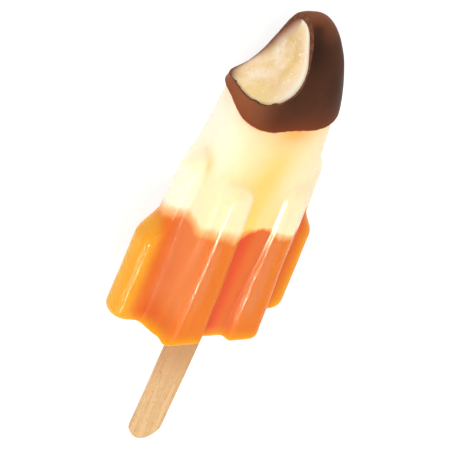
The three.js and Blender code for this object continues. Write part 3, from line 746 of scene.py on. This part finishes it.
# --------------------------------------------------------------- the chocolate
def build_chocolate():
    n = 400
    phi = np.linspace(0, 2 * math.pi, n, endpoint=False)
    wave = np.array([0.16 * noise.noise(Vector((7 * math.cos(a), 7 * math.sin(a), 4.2))) + 0.10 * noise.noise(Vector((19 * math.cos(a), 19 * math.sin(a), 1.7))) for a in phi])
    dip = dip_line(phi) + wave
    lip = 0.95
    rings = []
    # outside, from the tip down to just above the lip
    for t in np.linspace(0.012, 1, 84):
        s = (dip + lip) + (BODY - dip - lip) * math.cos(t * math.pi / 2)
        rings.append((s, coat_radius(phi, s)))
    for th in np.radians(np.linspace(10, 90, 9)):
        s = dip + lip * (1 - math.sin(th))
        inner, outer = plain_radius(phi, s) - 0.22, coat_radius(phi, s)
        rings.append((s, inner + (outer - inner) * math.cos(th)))
    # inside, against the ice
    for t in np.linspace(0.04, 0.985, 40):
        s = dip + (ICE_L - 0.1 - dip) * math.sin(t * math.pi / 2)
        rings.append((s, plain_radius(phi, s) + thin_coat(phi, s) - 0.22))
    pts = np.stack([np.stack([r * np.cos(phi), s, r * np.sin(phi)], -1) for s, r in rings])
    verts, faces = skin(pts, (0.0, BODY, 0.0), (0.0, ICE_L - 0.1, 0.0))
    ob = make_object("chocolate_shell", verts, faces, [CHOC, CHOC_CUT])
    turn_outward(ob)
    me = ob.data
    co, nrm = coords(me), vertex_normals(me)
    out = np.zeros(len(co))
    out[: 84 * n] = 1.0
    swell = 0.12 * wander(co, 8.0, 21) + 0.04 * wander(co, 2.6, 23) - 0.06
    set_coords(me, co + nrm * (swell * out)[:, None])
    cut(ob, bite_tool(0.05, 0.7, 31, -0.05))
    me = ob.data
    co = coords(me)
    a = np.arctan2(co[:, 2], co[:, 0])
    above = co[:, 1] - dip_line(a)
    # painted glow: red-brown towards the chocolate's lower edge
    set_attr(me, "lip", np.clip(np.exp(-np.maximum(above, 0) / 2.6) * 0.9, 0, 1))
    # painted glow: light orange-brown band at the chocolate's lower edge
    set_attr(me, "hem_glow", 0.8 * (1 - smooth((above - 0.1) / 0.7)))
    turn = np.degrees(a) % 360
    # painted light: lighter, redder brown on the left side and over the top, where the light falls
    warm_lit = smooth((turn - 118) / 50) * (1 - smooth((turn - 215) / 40)) * (1 - smooth((co[:, 1] - 86) / 8))
    set_attr(me, "warm_lit", np.clip(np.maximum(warm_lit, 0.55 * smooth((co[:, 1] - 93) / 7)), 0, 1))
    set_attr(me, "shade", 0.75 * np.exp(-((co[:, 0] + 0.6) / 2.9) ** 2) * smooth((co[:, 1] - 84) / 9) * (1 - smooth((co[:, 1] - 97.6) / 2.2)) * (co[:, 2] > 0))
    settle(ob, 38)
    return ob


# ------------------------------------------------------------------- the stick
def build_stick():
    """flat stick with round ends and softened edges, as rings along its length"""
    soft = 0.42
    w, h = STICK_W / 2, STICK_T / 2
    along = np.concatenate([
        STICK_L / 2 - w + w * np.sin(np.linspace(math.pi / 2 * 0.985, 0, 26)),
        np.linspace(STICK_L / 2 - w, -STICK_L / 2 + w, 150)[1:-1],
        -STICK_L / 2 + w - w * np.sin(np.linspace(0, math.pi / 2 * 0.985, 26)),
    ])
    over = np.maximum(np.abs(along) - (STICK_L / 2 - w), 0)
    half = np.sqrt(np.maximum(w * w - over * over, 0.0))
    rings = []
    for y, a in zip(along, half):
        e = min(soft, a * 0.6)
        thin = h * min(1.0, 0.35 + a / 1.6)
        ring = []
        flat = np.linspace(-1, 1, 22)
        ring += [(f * (a - e), thin) for f in flat]
        ring += [(a - e + e * math.sin(t), thin - e + e * math.cos(t)) for t in np.radians([22, 45, 68])]
        ring += [(a, f) for f in np.linspace(thin - e, -thin + e, 5)]
        ring += [(a - e + e * math.cos(t), -thin + e - e * math.sin(t)) for t in np.radians([22, 45, 68])]
        ring += [(-f * (a - e), -thin) for f in flat]
        ring += [(-a + e - e * math.sin(t), -thin + e - e * math.cos(t)) for t in np.radians([22, 45, 68])]
        ring += [(-a, f) for f in np.linspace(-thin + e, thin - e, 5)]
        ring += [(-a + e - e * math.cos(t), thin - e + e * math.sin(t)) for t in np.radians([22, 45, 68])]
        rings.append([(x, y, z) for x, z in ring])
    rings = np.array(rings)
    verts, faces = skin(rings, (0.0, STICK_L / 2 - 0.02, 0.0), (0.0, -STICK_L / 2 + 0.02, 0.0))
    ob = make_object("birch_stick", verts, faces, [WOOD])
    turn_outward(ob)
    me = ob.data
    co, nrm = coords(me), vertex_normals(me)
    relief = 0.035 * wander(co * (1, 0.05, 1), 0.9, 41) + 0.03 * wander(co * (1, 0.3, 1), 4.0, 43) - 0.03
    co = co + nrm * relief[:, None]
    turn = Matrix.Translation((STICK_X, 0, STICK_Z)) @ Matrix.Rotation(STICK_LEAN, 4, "Z") @ Matrix.Rotation(STICK_TWIST, 4, "Y") @ Matrix.Translation((0, STICK_L / 2 - STICK_OUT, 0))
    t = np.array(turn)
    co = co @ t[:3, :3].T + t[:3, 3]
    set_coords(me, co)
    # painted shade: darker towards the ice end of the stick
    set_attr(me, "along", np.clip(0.12 + 0.98 * smooth((co[:, 1] + 34.0) / 26.0), 0, 1))
    settle(ob, 60)
    return ob


ice = build_ice()
chocolate = build_chocolate()
stick = build_stick()
for ob, nodes, slot in ((ice, ("ice_orange", "ice_yellow"), "yellow_ice"), (chocolate, ("chocolate_cap",), "chocolate"), (stick, ("stick",), "stick_wood")):
    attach(ob, "root")
    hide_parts(*nodes)

# ------------------------------------------------------------- floor and light
floor_me = bpy.data.meshes.new("floor")
floor_me.from_pydata([(-4, -4, -0.0002), (4, -4, -0.0002), (4, 4, -0.0002), (-4, 4, -0.0002)], [], [(0, 1, 2, 3)])
floor = bpy.data.objects.new("floor", floor_me)
bpy.context.scene.collection.objects.link(floor)
fm, fnt, fp = new_material("floor_paper")
fp.inputs["Base Color"].default_value = (0.26, 0.26, 0.258, 1)
fp.inputs["Roughness"].default_value = 0.9
fp.inputs["Specular IOR Level"].default_value = 0.0
fp.inputs["Emission Color"].default_value = (1, 1, 1, 1)
fp.inputs["Emission Strength"].default_value = 0.86
floor_me.materials.append(fm)

scene = bpy.context.scene
world = bpy.data.worlds.new("studio")
scene.world = world
world.use_nodes = True
wt = world.node_tree
sky = wt.nodes["Background"]
direction = wt.nodes.new("ShaderNodeTexCoord")
split = wt.nodes.new("ShaderNodeSeparateXYZ")
wt.links.new(direction.outputs["Generated"], split.inputs[0])
fade = wt.nodes.new("ShaderNodeMapRange")
fade.interpolation_type = "SMOOTHSTEP"
fade.inputs["From Min"].default_value = 0.05
fade.inputs["From Max"].default_value = 0.85
fade.inputs["To Min"].default_value = 0.76
fade.inputs["To Max"].default_value = 0.50
wt.links.new(split.outputs["Z"], fade.inputs["Value"])
wt.links.new(fade.outputs[0], sky.inputs["Strength"])
sky.inputs["Color"].default_value = (1.0, 0.995, 0.985, 1)


def towards(azimuth, elevation):
    a, e = math.radians(azimuth), math.radians(elevation)
    return Vector((math.cos(a) * math.cos(e), math.sin(a) * math.cos(e), math.sin(e)))


def soft_light(name, one, other, width, distance, radiance, colour=(1, 1, 1)):
    """a softbox whose long side runs between two directions, given as azimuth and elevation"""
    a, b = towards(*one), towards(*other)
    away = (a + b).normalized()
    along = (b - a) - away * (b - a).dot(away)
    length = along.length * distance
    along.normalize()
    lamp = bpy.data.lights.new(name, "AREA")
    lamp.shape = "RECTANGLE"
    lamp.size, lamp.size_y = length, width
    lamp.energy = math.pi * length * width * radiance
    lamp.color = colour
    ob = bpy.data.objects.new(name, lamp)
    scene.collection.objects.link(ob)
    side = away.cross(along)
    at = Vector((0.0, 0.02, 0.012)) + away * distance
    ob.matrix_world = Matrix(((along.x, side.x, away.x, at.x), (along.y, side.y, away.y, at.y), (along.z, side.z, away.z, at.z), (0, 0, 0, 1)))
    return ob


soft_light("key", (-124, 64), (-110, 45), 0.052, 0.8, 64.0, (1.0, 0.89, 0.66))
soft_light("key_low", (-127, 47), (-141, 26), 0.034, 0.8, 28.0, (1.0, 0.89, 0.66))
soft_light("left", (-165, 18), (155, 36), 0.60, 0.9, 0.3, (1.0, 0.96, 0.86)).visible_glossy = False
soft_light("back", (105, 30), (140, 30), 0.50, 0.9, 1.6, (1.0, 0.93, 0.76)).visible_glossy = False
soft_light("right", (10, 32), (105, 40), 0.45, 0.9, 1.3).visible_glossy = False

# ---------------------------------------------------------------------- camera
AZ, EL, ROLL = math.radians(39.663), math.radians(33.514), math.radians(22.758)
SCALE, DIST, PX, PY = 3.745318, 458.19, 245.1, 183.4
look = Vector((-math.sin(AZ) * math.cos(EL), math.sin(EL), math.cos(AZ) * math.cos(EL)))
ex = Vector((math.cos(AZ), 0, math.sin(AZ)))
eu = Vector((math.sin(AZ) * math.sin(EL), math.cos(EL), -math.cos(AZ) * math.sin(EL)))
right = ex * math.cos(ROLL) + eu * math.sin(ROLL)
up = -ex * math.sin(ROLL) + eu * math.cos(ROLL)
place = Vector((0, 45, 0)) + look * DIST
pose = Matrix(((right.x, up.x, look.x, place.x), (right.y, up.y, look.y, place.y), (right.z, up.z, look.z, place.z), (0, 0, 0, 1)))
turned = PLACE @ pose
turned.translation = turned.translation * 0.001
cam_data = bpy.data.cameras.new("camera")
cam_data.sensor_fit = "HORIZONTAL"
cam_data.sensor_width = 36.0
cam_data.lens = SCALE * DIST * 36.0 / 450.0
cam_data.shift_x = -(PX - 225.0) / 450.0
cam_data.shift_y = -(225.0 - PY) / 450.0
cam_data.clip_start, cam_data.clip_end = 0.01, 20.0
camera = bpy.data.objects.new("camera", cam_data)
scene.collection.objects.link(camera)
camera.matrix_world = turned
scene.camera = camera

scene.view_settings.view_transform = "Standard"
scene.view_settings.look = "None"
scene.view_settings.exposure = 0.0
scene.view_settings.gamma = 1.0
